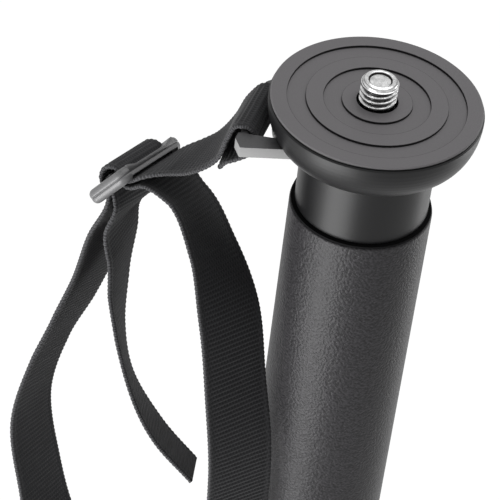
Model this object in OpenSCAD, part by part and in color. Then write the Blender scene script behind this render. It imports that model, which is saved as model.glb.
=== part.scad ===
// Camera monopod: round camera head with a threaded stud, foam hand grip, wrist strap on a side lug,
// and four nested tubes held by three flip locks. Millimetres, +Z up along the leg.
// The origin is the middle of the camera seat. -X points to the strap lug.

/* [Head] */
// Radius of the head below the camera plate
head_r = 27.1; // [27:0.1:30]
// Radius of the camera plate
plate_r = 26.75; // [26:0.05:26.8]
// Depth of the two ring grooves in the camera plate
groove_d = 0.6; // [0.2:0.1:0.8]
// Depth of the bowl under the camera seat
bowl_h = 12.8; // [12.4:0.1:13.4]
// Radius where the bowl's curve ends in its flat underside
bowl_low_r = 20.2; // [19:0.1:22]
// Radius of the neck
neck_r = 17.2; // [17:0.1:17.6]
// Height of the neck's lower end under the camera seat
neck_h = 32.6; // [30:0.1:33]

/* [Camera stud] */
// Outer radius of the 3/8 inch thread
stud_r = 4.76; // [4.7:0.01:4.8]
// How far the stud stands above the camera seat
stud_h = 6.6; // [6.4:0.1:7]
// Thread pitch, sixteen turns to the inch
stud_pitch = 1.5875; // [1.5:0.0125:1.6]

/* [Strap] */
// Width of the webbing
strap_w = 20; // [18:0.5:20]
// Thickness of the webbing
strap_t = 1.3; // [0.9:0.1:1.3]
// Length of the slider along its bars
slider_l = 27; // [26:0.5:30]
// Thickness of the slider's bars
slider_t = 2.2; // [1.8:0.1:2.2]
// Thickness of the strap lug
lug_t = 3; // [2.4:0.1:3]

/* [Grip and legs] */
// Outer radius of the foam grip
grip_r = 18.5; // [18.3:0.1:22]
// Length of the foam grip
grip_l = 215; // [150:5:250]
// Outer radius of the upper tube
tube_r = 15; // [15:0.1:15.1]
// How much smaller in radius each tube is than the one around it
tube_step = 2; // [2:0.1:2.2]
// Wall thickness of the tubes
tube_wall = 1.2; // [1:0.1:1.2]
// Height of the rubber foot's base under the camera seat, legs pushed in
total_h = 497; // [495:1:510]

/* [Locks] */
// Height of the first lock collar's top under the camera seat
lock_h = 356; // [340:1:358]
// Height of one lock collar
collar_l = 34; // [32:1:34]
// Distance from one lock collar to the next, legs pushed in
lock_gap = 36.5; // [36.5:0.5:38]

/* [Hidden] */
$fn = 64;

// Gaps between pieces that are fixed together, glued, or screwed through a hole
fit = 0.05;
glue_gap = 0.02;
hole_gap = 0.15;

// How far a cut runs past what it cuts
over = 1;

// Colours
grey_paint = "#6f6d6f";
black_paint = "#1b1b1c";
lug_paint = "#3c3c3d";
steel = "#c9c9c6";
zinc = "#8d8d8a";
webbing_black = "#232325";
slider_grey = "#4a4a4b";
black_rubber = "#0c0c0c";
foam_grey = "#2c2c2e";
anodised = "#202022";
black_plastic = "#1a1a1b";
acetal = "#d8d6cf";

// Camera plate and head
groove_in = [8.9, 13.5];
groove_out = [17.9, 22.6];
seat_bore_r = 5.3;
plate_bevel = 0.3;
plate_edge_h = 0.5;
plate_undercut = 0.35;
rim_h = 0.85;
rim_side_h = 1.6;
rim_chamfer = 0.35;
pocket_r = 24.6;
pocket_h = 2.5;
hub_h = 9;
cavity_r = 13.4;
socket_h = 17;
neck_flare = 0.15;
neck_fillet = 0.8;
neck_edge = 0.3;

// Screws and nut in the head; a screw's head is its radius and height
screw_ring_r = 11.2;
plate_screw_r = 1.45;
plate_screw_head = [2.1, 1.6];
plate_skin = 0.4;
screw_tip_gap = 0.2;
nut_h = 4.4;
nut_r = 8.1;
lug_screw_at = [-17.8, 9.5];
lug_screw_r = 1.25;
lug_screw_l = 7;
lug_screw_z = -12.2;
lug_screw_head = [2.2, 1.4];
counterbore_h = 3;
set_screw_z = -25;
set_screw_r = 2;
set_screw_l = 1.9;
set_key_r = 1.1;

// Camera stud: thread form, shank below the seat and cup in its end
thread_from = 0.8;
thread_depth = 0.86;
thread_flank = 0.6;
root_flat = 0.25;
crest_flat = 0.2;
end_lead = [0.22, 0.1];
end_shoulder = [0.38, 0.4];
end_chamfer = 1.2;
cup_r = 3.15;
cup_d = 0.6;
cup_taper = 0.5;
shank_r = 4.4;
shank_low_h = 13.6;
small_thread_r = 3.1;
small_thread_edge = 0.4;
stud_low_h = 17;

// Strap lug: its bar slants away from the head
lug_z = -10;
lug_bar = [-29.2, 0, lug_z];
lug_bar_dir = [0.18, 0.98, 0];
lug_bar_near = 13;
lug_bar_far = 12;
lug_bar_inset = 0.05;
lug_bar_r = lug_t / 2 - lug_bar_inset;
lug_tip_wall = 0.15;
lug_tip = lug_bar_r + lug_tip_wall;
lug_corner = [1.6, 3.5];
lug_far_corner = 2.4;
lug_root_r = 25.2;
lug_pocket_x = -15.4;
lug_pocket_y = [-14.7, 14];
lug_inner_y = -13.6;
lug_near_y = -16.5;
lug_slot_y = [-10.6, 11];

// Strap slider, and the radii at which the webbing's two plies pass over its middle bar
slider_at = [-59.6, 7.5, -40.6];
slider_along = [0.44, 0.89, -0.15];
slider_across = [-0.58, 0.15, -0.8];
slider_half_w = 7.8;
slider_end = 3;
slider_end_t = 4.1;
slider_end_step = 0.1;
slider_corner_r = 3;
slider_bar_r = 1.1;
wrap_gap = 0.35;
ply_gap = 0.4;
ply_in_r = slider_bar_r + wrap_gap + strap_t / 2;
ply_out_r = ply_in_r + strap_t + ply_gap;
ply_shift = 0.2;
slider_slot_v = ply_out_r + strap_t / 2 + ply_gap;

// Grip
grip_top_z = -33.2;
foam_edge = 0.4;
ring_gap = 0.05;
ring_inset = 0.3;
end_ring_l = 8;
end_ring_side = 3;
end_ring_lip = 1.2;

// Tubes, bushes and locks
tube_tops = [17.2, 26, 28, 30];
bush_l = 14;
bush_gap = 0.08;
collar_wall = 2.6;
socket_l = 18;
guide_t = 0.95;
guide_gap = 0.06;
guide_seat = 0.03;
guide_low = 0.5;
guide_high = 1;
split_w = 2;
ear_out = 7.5;
ear_root = 2;
ear_half = 7;
ear_h = 14;
ear_low = 1;
bolt_r = 1.5;
bolt_gap = 0.1;
bolt_tail = 4.2;
lock_nut_r = 3.4;
lock_nut_l = 3.4;
cam_r = 4.2;
cam_gap = 0.3;
pin_r = 2.2;
pin_short = 0.3;
fork_gap = 0.7;
fork_deep = 0.4;
lever_gap = 1.2;
lever_t = 3;
lever_h = 13;
arm_h = 12.2;
lever_sweep = 150;

// Foot
foot_l = 31;
foot_r = 11.5;
foot_edge = 2.5;
foot_side_h = 12;
foot_lip = 1.6;
plug_l = 14;
plug_flange = 2;

function unit(v) = v / norm(v);
function square_to(v, d) = unit(v - (v * d) * d);
function arc(centre, rx, ry, from, to, n) =
    [for (i = [0:n]) let (a = from + (to - from) * i / n) centre + [rx * cos(a), ry * sin(a)]];

// Radii of tube i (1 to 4), and heights and radii of lock i (1 to 3)
function tube_or(i) = tube_r - (i - 1) * tube_step;
function tube_ir(i) = tube_or(i) - tube_wall;
function lock_top(i) = -lock_h - (i - 1) * lock_gap;
function tube_low(i) = i < 4 ? lock_top(i) - socket_l : -total_h + foot_l / 2;
function collar_r(i) = tube_or(i) + collar_wall;
function guide_r(i) = tube_or(i + 1) + guide_gap + guide_t;
function ear_z(i) = lock_top(i) - collar_l + ear_h / 2 + ear_low;
function pin_at(i) = [collar_r(i) + ear_out / 2, ear_half + cam_gap + cam_r, ear_z(i)];

// Directions of the slider: along its bars, across them and up out of its face
slider_u = unit(slider_along);
slider_v = square_to(slider_across, slider_u);
slider_n = cross(slider_u, slider_v);
function on_slider(u, v, n) = slider_at + u * slider_u + v * slider_v + n * slider_n;

// Directions at the lug: along its bar and straight out from it
lug_dir = unit(lug_bar_dir);
lug_out = [-lug_dir.y, lug_dir.x, 0];
strap_wrap_r = lug_bar_r + wrap_gap + strap_t / 2;
function round_bar(a) = lug_bar - strap_wrap_r * cos(a) * lug_out + [0, 0, strap_wrap_r * sin(a)];

// Webbing route: each row is a point on its middle line and the direction of its width there
strap_route = [
    // sewn end under the top ply, then round the lug's bar
    [[-35.3, 1.5, -22.5], [0.14, 0.98, 0.04]],
    [[-34.3, 1.3, -20.8], [0.14, 0.98, 0.04]],
    [[-31, 0.6, -18.6], [0.18, 0.98, 0.02]],
    [[-27.4, 0, -15.4], [0.18, 0.98, 0]],
    for (a = [0, 75]) [round_bar(a), lug_dir],
    // top ply over its shoulder and down to the slider
    [[-31.4, 0.4, -8.2], [0.22, 0.97, 0]],
    [[-33.6, 0.8, -12], [0.17, 0.98, 0]],
    [[-36.2, 1.5, -20], [0.14, 0.98, 0.04]],
    [[-40.8, 2.8, -26.6], [0.24, 0.97, 0]],
    [[-46.4, 4.6, -31.4], [0.36, 0.92, -0.06]],
    // under the near bar, over the middle bar and out under the far bar
    [on_slider(ply_shift, -7.6, -2.6), slider_u],
    [on_slider(ply_shift, -5.6, -2.2), slider_u],
    [on_slider(ply_shift, -4.1, -1.5), slider_u],
    [on_slider(ply_shift, -3.8, -0.1), slider_u],
    [on_slider(ply_shift, -3.1, 3), slider_u],
    [on_slider(ply_shift, -0.3, 4.7), slider_u],
    [on_slider(ply_shift, 2.8, 3.4), slider_u],
    [on_slider(ply_shift, 4, -0.2), slider_u],
    [on_slider(ply_shift, 4.2, -1.6), slider_u],
    [on_slider(ply_shift, 5.4, -2.6), slider_u],
    // far band of the wrist loop
    [[-65.3, 8.4, -58.5], [0.42, 0.9, 0]],
    [[-68.5, 9, -76.5], [0.48, 0.87, 0]],
    [[-73.2, 7, -91], [0.48, 0.87, 0]],
    [[-78.6, 3.5, -105], [0.4, 0.9, 0]],
    [[-82, -2, -122], [0.36, 0.93, 0]],
    [[-77.8, -8, -142], [0.36, 0.93, 0]],
    [[-68, -15, -168], [0.48, 0.84, 0.15]],
    [[-50, -22, -184], [0.6, 0.7, 0.3]],
    [[-31, -26, -172], [0.7, 0.6, 0.2]],
    // near band of the wrist loop, back up to the slider
    [[-22, -26, -145], [0.78, 0.62, 0.1]],
    [[-21, -24, -110], [0.76, 0.65, 0.05]],
    [[-25, -19, -87], [0.7, 0.7, 0]],
    [[-29.6, -13, -66], [0.66, 0.74, 0]],
    [[-36.3, -6, -51], [0.5, 0.8, -0.28]],
    [[-45, 0.6, -40], [0.46, 0.81, -0.35]],
    // through the slider a second time, under the first ply
    [on_slider(0, -6.6, -4.4), slider_u],
    [on_slider(0, -4.2, -3.7), slider_u],
    [on_slider(0, -2.5, -2.2), slider_u],
    [on_slider(0, -ply_in_r, -0.6), slider_u],
    for (a = [135, 90, 45]) [on_slider(0, ply_in_r * cos(a), ply_in_r * sin(a)), slider_u],
    [on_slider(0, ply_in_r, -0.6), slider_u],
    [on_slider(0, 2.5, -2.3), slider_u],
    [on_slider(0, 4.1, -4.6), slider_u],
    // free tail, turning as it hangs
    [[-61.6, 5, -54.6], [0.32, 0.94, -0.05]],
    [[-61, 4.6, -64], [0.21, 0.95, 0]],
    [[-60.8, 1.8, -76], [0.08, 0.99, 0]],
    [[-58.6, -4, -88], [-0.14, 0.98, 0]],
    [[-53.7, -10, -100], [-0.22, 0.95, -0.2]],
    [[-44.8, -15, -111.5], [-0.05, 0.9, -0.4]],
    [[-33.6, -19, -120.5], [0.05, 0.86, -0.5]]
];

// Smooth curve through the route's rows, by the distance between their points
route_steps = 4;
route_last = len(strap_route) - 1;
function route_gap(i) = norm(strap_route[i + 1][0] - strap_route[i][0]);
function route_step(k, i) = (strap_route[i + 1][k] - strap_route[i][k]) / route_gap(i);
function route_slope(k, i) =
    i == 0 ? route_step(k, 0) :
    i == route_last ? route_step(k, route_last - 1) :
    (route_step(k, i - 1) * route_gap(i) + route_step(k, i) * route_gap(i - 1))
        / (route_gap(i - 1) + route_gap(i));
function route_at(k, i, t) =
    (1 + 2 * t) * (1 - t) * (1 - t) * strap_route[i][k]
    + t * (1 - t) * (1 - t) * route_gap(i) * route_slope(k, i)
    + t * t * (3 - 2 * t) * strap_route[i + 1][k]
    - t * t * (1 - t) * route_gap(i) * route_slope(k, i + 1);
function smooth_route(k) =
    concat([for (i = [0:route_last - 1], n = [0:route_steps - 1]) route_at(k, i, n / route_steps)],
        [strap_route[route_last][k]]);

// A closed flat band of rectangular section swept along the webbing route
module webbing() {
    middle = smooth_route(0);
    across = smooth_route(1);
    last = len(middle) - 1;
    rings = [for (i = [0:last])
        let (t = unit(middle[min(i + 1, last)] - middle[max(i - 1, 0)]))
        let (w = square_to(across[i], t))
        let (n = cross(t, w))
        for (c = [[-1, -1], [1, -1], [1, 1], [-1, 1]])
            middle[i] + c[0] * w * strap_w / 2 + c[1] * n * strap_t / 2];
    sides = [for (i = [0:last - 1], k = [0:3], half = [0, 1])
        let (a = 4 * i + k, b = 4 * i + (k + 1) % 4)
        half == 0 ? [a, a + 4, b] : [b, a + 4, b + 4]];
    ends = [[0, 1, 2], [0, 2, 3], [4 * last, 4 * last + 2, 4 * last + 1],
        [4 * last, 4 * last + 3, 4 * last + 2]];
    polyhedron(rings, concat(sides, ends), convexity = 10);
}

module ring(outer, inner, low, high) {
    translate([0, 0, low])
        difference() {
            cylinder(h = high - low, r = outer);
            translate([0, 0, -over])
                cylinder(h = high - low + 2 * over, r = inner);
        }
}

module around(count, radius) {
    for (i = [0:count - 1])
        rotate(360 * i / count + 90)
            translate([radius, 0, 0])
                children();
}

module camera_plate() {
    color(grey_paint)
        difference() {
            rotate_extrude($fn = 128)
                polygon([[seat_bore_r, 0], [groove_in[0], 0], [groove_in[0], -groove_d],
                    [groove_in[1], -groove_d], [groove_in[1], 0], [groove_out[0], 0],
                    [groove_out[0], -groove_d], [groove_out[1], -groove_d], [groove_out[1], 0],
                    [plate_r - plate_bevel, 0], [plate_r, -plate_bevel], [plate_r, -plate_edge_h],
                    [plate_r - plate_undercut, -plate_edge_h], [plate_r - plate_undercut, -rim_h],
                    [pocket_r - fit, -rim_h], [pocket_r - fit, -pocket_h + fit],
                    [seat_bore_r, -pocket_h + fit]]);
            around(3, screw_ring_r)
                translate([0, 0, -pocket_h])
                    cylinder(h = pocket_h - groove_d - plate_skin, r = plate_screw_r + fit, $fn = 32);
        }
}

module head_body() {
    bowl = arc([bowl_low_r, -rim_side_h], head_r - bowl_low_r, bowl_h - rim_side_h, 0, -90, 14);
    fillet_at = [neck_r + neck_flare + neck_fillet, -bowl_h - neck_fillet];
    color(black_paint)
        difference() {
            rotate_extrude($fn = 128)
                polygon(concat(
                    [[pocket_r, -rim_h], [head_r - rim_chamfer, -rim_h], [head_r, -rim_h - rim_chamfer]],
                    bowl,
                    arc(fillet_at, neck_fillet, neck_fillet, 90, 180, 4),
                    [[neck_r, -neck_h + neck_edge], [neck_r - neck_edge, -neck_h],
                    [tube_r + fit, -neck_h], [tube_r + fit, -socket_h], [cavity_r, -socket_h],
                    [cavity_r, -hub_h], [shank_r + fit, -hub_h], [shank_r + fit, -pocket_h],
                    [pocket_r, -pocket_h]]));
            around(3, screw_ring_r)
                translate([0, 0, -hub_h - over])
                    cylinder(h = hub_h, r = plate_screw_r + hole_gap, $fn = 32);
            translate([-head_r - over, lug_pocket_y[0] - fit, lug_z - lug_t / 2 - fit])
                cube([head_r + over + lug_pocket_x, lug_pocket_y[1] - lug_pocket_y[0] + 2 * fit,
                    lug_t + 2 * fit]);
            for (y = [-1, 1])
                translate([lug_screw_at.x, y * lug_screw_at.y, lug_screw_z]) {
                    translate([0, 0, -counterbore_h])
                        cylinder(h = counterbore_h, r = lug_screw_head[0] + hole_gap, $fn = 32);
                    translate([0, 0, -over])
                        cylinder(h = over + lug_screw_l + screw_tip_gap, r = lug_screw_r + fit, $fn = 32);
                }
            translate([0, tube_r - over, set_screw_z])
                rotate([-90, 0, 0])
                    cylinder(h = neck_r - tube_r + 2 * over, r = set_screw_r + fit, $fn = 32);
        }
}

// Rings at the thread's true pitch, then a rounded lead-in with a shallow cup in its end
module camera_stud() {
    turns = floor((stud_h - thread_from) / stud_pitch);
    root_r = stud_r - thread_depth;
    thread_to = thread_from + turns * stud_pitch;
    thread = [for (i = [0:turns - 1])
        let (z = thread_from + i * stud_pitch)
        for (p = [[stud_r, z], [root_r, z + thread_flank], [root_r, z + thread_flank + root_flat],
            [stud_r, z + stud_pitch - crest_flat]]) p];
    color(steel)
        rotate_extrude($fn = 96)
            polygon(concat(
                [[0, -stud_low_h], [small_thread_r - small_thread_edge, -stud_low_h],
                [small_thread_r, -stud_low_h + small_thread_edge], [small_thread_r, -shank_low_h],
                [shank_r, -shank_low_h], [shank_r, 0], [stud_r, 0]],
                thread,
                [[stud_r, thread_to], [stud_r - end_lead[0], thread_to + end_lead[1]],
                [stud_r - end_shoulder[0], stud_h - end_shoulder[1]],
                [stud_r - end_chamfer, stud_h], [cup_r, stud_h], [cup_r - cup_taper, stud_h - cup_d],
                [0, stud_h - cup_d]]));
}

module stud_lock_nut() {
    color(zinc)
        translate([0, 0, -hub_h - fit - nut_h])
            difference() {
                cylinder(h = nut_h, r = nut_r, $fn = 6);
                translate([0, 0, -over])
                    cylinder(h = nut_h + 2 * over, r = shank_r + fit);
            }
}

module plate_screws() {
    color(zinc)
        around(3, screw_ring_r)
            translate([0, 0, -hub_h - fit]) {
                translate([0, 0, -plate_screw_head[1]])
                    cylinder(h = plate_screw_head[1], r = plate_screw_head[0], $fn = 32);
                cylinder(h = hub_h - groove_d - plate_skin - screw_tip_gap, r = plate_screw_r, $fn = 32);
            }
}

// Flat loop let into the side of the head, with a round bar that carries the webbing
module strap_lug() {
    near_end = lug_bar - lug_bar_near * lug_dir;
    far_end = lug_bar + lug_bar_far * lug_dir;
    color(lug_paint) {
        difference() {
            translate([0, 0, lug_z])
                linear_extrude(lug_t, center = true)
                    polygon([[lug_pocket_x - fit, lug_inner_y],
                        [near_end.x - lug_tip + lug_corner.x, lug_near_y],
                        [near_end.x - lug_tip, lug_near_y + lug_corner.y],
                        [far_end.x - lug_tip, far_end.y],
                        [far_end.x - lug_tip + lug_far_corner, lug_pocket_y[1]],
                        [lug_pocket_x - fit, lug_pocket_y[1]]]);
            difference() {
                translate([-2 * head_r, lug_slot_y[0], lug_z - lug_t])
                    cube([2 * head_r, lug_slot_y[1] - lug_slot_y[0], 2 * lug_t]);
                cylinder(h = -4 * lug_z, r = lug_root_r, center = true, $fn = 96);
            }
            for (y = [-1, 1])
                translate([lug_screw_at.x, y * lug_screw_at.y, lug_z - lug_t])
                    cylinder(h = 2 * lug_t, r = lug_screw_r + fit, $fn = 32);
        }
        translate(near_end)
            rotate([0, 90, atan2(lug_dir.y, lug_dir.x)])
                cylinder(h = norm(far_end - near_end), r = lug_bar_r);
    }
}

module lug_screws() {
    color(zinc)
        for (y = [-1, 1])
            translate([lug_screw_at.x, y * lug_screw_at.y, lug_screw_z - fit]) {
                translate([0, 0, -lug_screw_head[1]])
                    cylinder(h = lug_screw_head[1], r = lug_screw_head[0], $fn = 32);
                cylinder(h = lug_screw_l, r = lug_screw_r, $fn = 32);
            }
}

module neck_set_screw() {
    color(zinc)
        translate([0, tube_r + fit, set_screw_z])
            rotate([-90, 0, 0])
                difference() {
                    cylinder(h = set_screw_l, r = set_screw_r, $fn = 32);
                    translate([0, 0, set_screw_l - set_key_r])
                        cylinder(h = set_screw_l, r = set_key_r, $fn = 6);
                }
}

module wrist_strap() {
    color(webbing_black)
        webbing();
}

// Outline of the slider with its slot
module slider_outline() {
    corner = [slider_l / 2 - slider_corner_r, slider_half_w - slider_corner_r];
    difference() {
        union() {
            square([2 * corner.x, 2 * slider_half_w], center = true);
            square([slider_l, 2 * corner.y], center = true);
            for (x = [-1, 1], y = [-1, 1])
                translate([x * corner.x, y * corner.y])
                    circle(r = slider_corner_r);
        }
        square([slider_l - 2 * slider_end, 2 * slider_slot_v], center = true);
    }
}

// Three-bar slider: two thin outer bars and a round middle bar between two thicker ends
module strap_slider() {
    between_ends = slider_l - 2 * (slider_end - slider_end_step);
    color(slider_grey)
        multmatrix([for (i = [0:2]) [slider_u[i], slider_v[i], slider_n[i], slider_at[i]]]) {
            linear_extrude(slider_t, center = true)
                slider_outline();
            difference() {
                linear_extrude(slider_end_t, center = true)
                    slider_outline();
                cube([between_ends, 3 * slider_half_w, 2 * slider_end_t], center = true);
            }
            rotate([0, 90, 0])
                cylinder(h = slider_l - slider_end, r = slider_bar_r, center = true);
        }
}

module grip_top_ring() {
    color(black_rubber)
        ring(grip_r - ring_inset, tube_r + fit, grip_top_z + ring_gap, -neck_h - ring_gap);
}

module foam_grip() {
    low = grip_top_z - grip_l;
    round_r = grip_r - foam_edge;
    color(foam_grey)
        rotate_extrude($fn = 128)
            polygon(concat([[tube_r + fit, grip_top_z]],
                arc([round_r, grip_top_z - foam_edge], foam_edge, foam_edge, 90, 0, 4),
                arc([round_r, low + foam_edge], foam_edge, foam_edge, 0, -90, 4),
                [[tube_r + fit, low]]));
}

module grip_end_ring() {
    high = grip_top_z - grip_l - ring_gap;
    color(black_plastic)
        rotate_extrude($fn = 128)
            polygon([[tube_r + fit, high], [grip_r, high], [grip_r, high - end_ring_side],
                [tube_r + end_ring_lip, high - end_ring_l], [tube_r + fit, high - end_ring_l]]);
}

module tube(i) {
    color(anodised)
        ring(tube_or(i), tube_ir(i), tube_low(i), -tube_tops[i - 1]);
}

// Plastic ring round the top of tube i, running inside the tube above
module slide_bush(i) {
    top = -tube_tops[i - 1];
    color(acetal)
        ring(tube_ir(i - 1) - bush_gap, tube_or(i) + glue_gap, top - bush_l, top);
}

// Collar glued on the end of tube i, split below so that it can close on the next tube
module lock_collar(i) {
    top = lock_top(i);
    low = top - collar_l;
    color(black_plastic)
        difference() {
            union() {
                translate([0, 0, low])
                    cylinder(h = collar_l, r = collar_r(i), $fn = 96);
                translate([collar_r(i) - ear_root, -ear_half, ear_z(i) - ear_h / 2])
                    cube([ear_root + ear_out, 2 * ear_half, ear_h]);
            }
            translate([0, 0, top - socket_l])
                cylinder(h = socket_l + over, r = tube_or(i) + glue_gap, $fn = 96);
            translate([0, 0, low - over])
                cylinder(h = collar_l, r = guide_r(i) + guide_seat, $fn = 96);
            translate([0, -split_w / 2, low - over])
                cube([collar_r(i) + ear_out + over, split_w, collar_l - socket_l]);
            translate([pin_at(i).x, 0, ear_z(i)])
                rotate([90, 0, 0])
                    cylinder(h = 4 * ear_half, r = bolt_r + bolt_gap, center = true, $fn = 32);
        }
}

module guide_bush(i) {
    color(acetal)
        ring(guide_r(i), tube_or(i + 1) + guide_gap, lock_top(i) - collar_l + guide_low,
            lock_top(i) - socket_l - guide_high);
}

// Forked flip lever: two cam rings on the pin and an arm that lies round the collar
module lock_lever(i) {
    at = pin_at(i);
    arm_in = collar_r(i) + lever_gap;
    arm_from = atan2(at.y, at.x);
    color(black_plastic)
        translate([0, 0, at.z])
            difference() {
                union() {
                    translate([at.x, at.y, 0])
                        cylinder(h = lever_h, r = cam_r, center = true);
                    translate([0, 0, -arm_h / 2])
                        rotate(arm_from)
                            rotate_extrude(angle = lever_sweep - arm_from, $fn = 96)
                                translate([arm_in, 0])
                                    square([lever_t, arm_h]);
                }
                translate([at.x, at.y, 0])
                    cylinder(h = 2 * lever_h, r = pin_r + fit, center = true);
                translate([at.x, at.y, 0])
                    cylinder(h = 2 * (bolt_r + fork_gap), r = cam_r + fork_deep, center = true);
            }
}

module lever_pin(i) {
    color(steel)
        translate(pin_at(i))
            difference() {
                cylinder(h = lever_h, r = pin_r, center = true);
                rotate([90, 0, 0])
                    cylinder(h = 4 * pin_r, r = bolt_r + glue_gap, center = true, $fn = 32);
            }
}

module lock_bolt(i) {
    near_y = -ear_half - bolt_tail;
    far_y = pin_at(i).y + pin_r - pin_short;
    color(steel)
        translate([pin_at(i).x, near_y, ear_z(i)])
            rotate([-90, 0, 0])
                cylinder(h = far_y - near_y, r = bolt_r, $fn = 32);
}

module lock_nut(i) {
    color(zinc)
        translate([pin_at(i).x, -ear_half - fit, ear_z(i)])
            rotate([90, 0, 0])
                difference() {
                    cylinder(h = lock_nut_l, r = lock_nut_r, $fn = 6);
                    translate([0, 0, -over])
                        cylinder(h = lock_nut_l + 2 * over, r = bolt_r + glue_gap, $fn = 32);
                }
}

module foot_plug() {
    top = tube_low(4) - fit;
    color(black_plastic) {
        translate([0, 0, top])
            cylinder(h = plug_l, r = tube_ir(4) - fit);
        translate([0, 0, top - plug_flange])
            cylinder(h = plug_flange, r = tube_or(4));
    }
}

module rubber_foot() {
    top = -total_h + foot_l;
    floor_z = tube_low(4) - plug_flange - 2 * fit;
    bore_r = tube_or(4) + glue_gap;
    color(black_rubber)
        rotate_extrude($fn = 96)
            polygon(concat(
                [[0, -total_h], [foot_r - foot_edge, -total_h]],
                arc([foot_r - foot_edge, -total_h + foot_edge], foot_edge, foot_edge, -90, 0, 5),
                [[foot_r, -total_h + foot_side_h], [tube_or(4) + foot_lip, top], [bore_r, top],
                [bore_r, floor_z], [0, floor_z]]));
}

camera_plate();
head_body();
camera_stud();
stud_lock_nut();
plate_screws();
strap_lug();
lug_screws();
neck_set_screw();
wrist_strap();
strap_slider();
grip_top_ring();
foam_grip();
grip_end_ring();
tube(1);  // upper_tube
foot_plug();
rubber_foot();
for (i = [1:3]) {
    lock_collar(i);
    guide_bush(i);
    lock_lever(i);
    lever_pin(i);
    lock_bolt(i);
    lock_nut(i);
    tube(i + 1);
    slide_bush(i + 1);
}
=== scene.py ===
"""Camera monopod, dressed for a studio picture of its head, grip and wrist strap.

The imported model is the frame. The object's sizes are in millimetres, as on a drawing. Meshes, lamps and the
floor are in metres.
"""

import logging
import math
from dataclasses import dataclass, field
from enum import Enum
from typing import Any, Callable

import bmesh
import bpy
from mathutils import Matrix, Vector


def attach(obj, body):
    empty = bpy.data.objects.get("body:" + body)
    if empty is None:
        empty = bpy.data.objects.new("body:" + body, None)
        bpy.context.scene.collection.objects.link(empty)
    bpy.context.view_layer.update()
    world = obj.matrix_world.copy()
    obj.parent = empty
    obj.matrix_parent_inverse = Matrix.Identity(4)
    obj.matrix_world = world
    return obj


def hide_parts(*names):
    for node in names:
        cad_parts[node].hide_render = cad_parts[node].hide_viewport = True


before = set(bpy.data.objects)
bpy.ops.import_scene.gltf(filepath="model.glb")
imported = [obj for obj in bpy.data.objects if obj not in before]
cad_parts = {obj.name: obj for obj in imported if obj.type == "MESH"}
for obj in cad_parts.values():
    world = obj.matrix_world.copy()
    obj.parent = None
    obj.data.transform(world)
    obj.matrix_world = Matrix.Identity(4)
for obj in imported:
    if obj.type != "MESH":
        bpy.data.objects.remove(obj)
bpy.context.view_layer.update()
LOG = logging.getLogger("monopod")
MM = 0.001
Piece = bpy.types.Object
Tree = bpy.types.NodeTree
Node = bpy.types.Node
Socket = bpy.types.NodeSocket
Profile = list[tuple[float, float]]
Route = list[tuple[Vector, Vector]]
WHITE = (1.0, 1.0, 1.0, 1.0)
# Sockets of the colour mix node: share, the colour below, the colour over it, and the result
MIX_SHARE, MIX_BELOW, MIX_OVER, MIX_RESULT = 0, 6, 7, 2
# A face is level where its normal's height is over the first, and upright where it is under the second
LEVEL, UPRIGHT = 0.9, 0.1
# Points closer than this, in millimetres, are one: on a turned shape, and on a copy of a CAD node
TURNED_MERGE, CAD_MERGE = 0.0005, 0.001
# Facets of a CAD node that meet at less than this many degrees are one face
FACET_ANGLE = 0.5
# Width of the wrist strap and pitch of its ribs, which its weave follows
STRAP_WIDTH, RIB_PITCH = 20, 1.28


class Body(Enum):
    """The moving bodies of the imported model."""

    HEAD = "head"
    STRAP = "strap"
    LEG_2 = "leg_2"
    LEG_3 = "leg_3"
    LEG_4 = "leg_4"
    LEVER_1 = "lever_1"
    LEVER_2 = "lever_2"
    LEVER_3 = "lever_3"


class Slot(Enum):
    """Names of the record's material slots."""

    STEEL = "bright_steel"
    LUG = "lug_black"
    WEBBING = "webbing"
    SLIDER = "slider_plastic"
    FOAM = "foam"
    COLLAR = "collar_plastic"
    LEVER = "lever_plastic"
    FOOT = "foot_rubber"


class Pick(Enum):
    """What edit mode selects."""

    VERT = "VERT"
    EDGE = "EDGE"
    FACE = "FACE"


def linear(colour: str) -> tuple[float, float, float, float]:
    """Turns an sRGB hex colour to linear light, by the standard sRGB curve.

    Args:
        colour: the colour, such as "#6f6d6f".

    Returns:
        Red, green, blue and an alpha of one.
    """
    parts = [int(colour[k:k + 2], 16) / 255 for k in (1, 3, 5)]
    red, green, blue = (c / 12.92 if c <= 0.04045 else ((c + 0.055) / 1.055) ** 2.4 for c in parts)
    return red, green, blue, 1.0


def add_node(tree: Tree, kind: str, settings: dict[str, Any] | None = None,
             inputs: dict[str | int, Any] | None = None) -> Node:
    """Adds a shader node.

    Args:
        tree: the material's or world's node tree.
        kind: Blender's name for the node.
        settings: the node's own properties.
        inputs: values for its sockets, or sockets to link from.

    Returns:
        The node.
    """
    node = tree.nodes.new(kind)
    for key, value in (settings or {}).items():
        setattr(node, key, value)
    for key, value in (inputs or {}).items():
        if isinstance(value, Socket):
            tree.links.new(value, node.inputs[key])
        else:
            node.inputs[key].default_value = value
    return node


def emptied(owner: bpy.types.Material | bpy.types.World) -> Tree:
    """Gives a material or world an empty node tree.

    Args:
        owner: the material or world.

    Returns:
        Its node tree.
    """
    owner.use_nodes = True
    owner.node_tree.nodes.clear()
    return owner.node_tree


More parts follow.
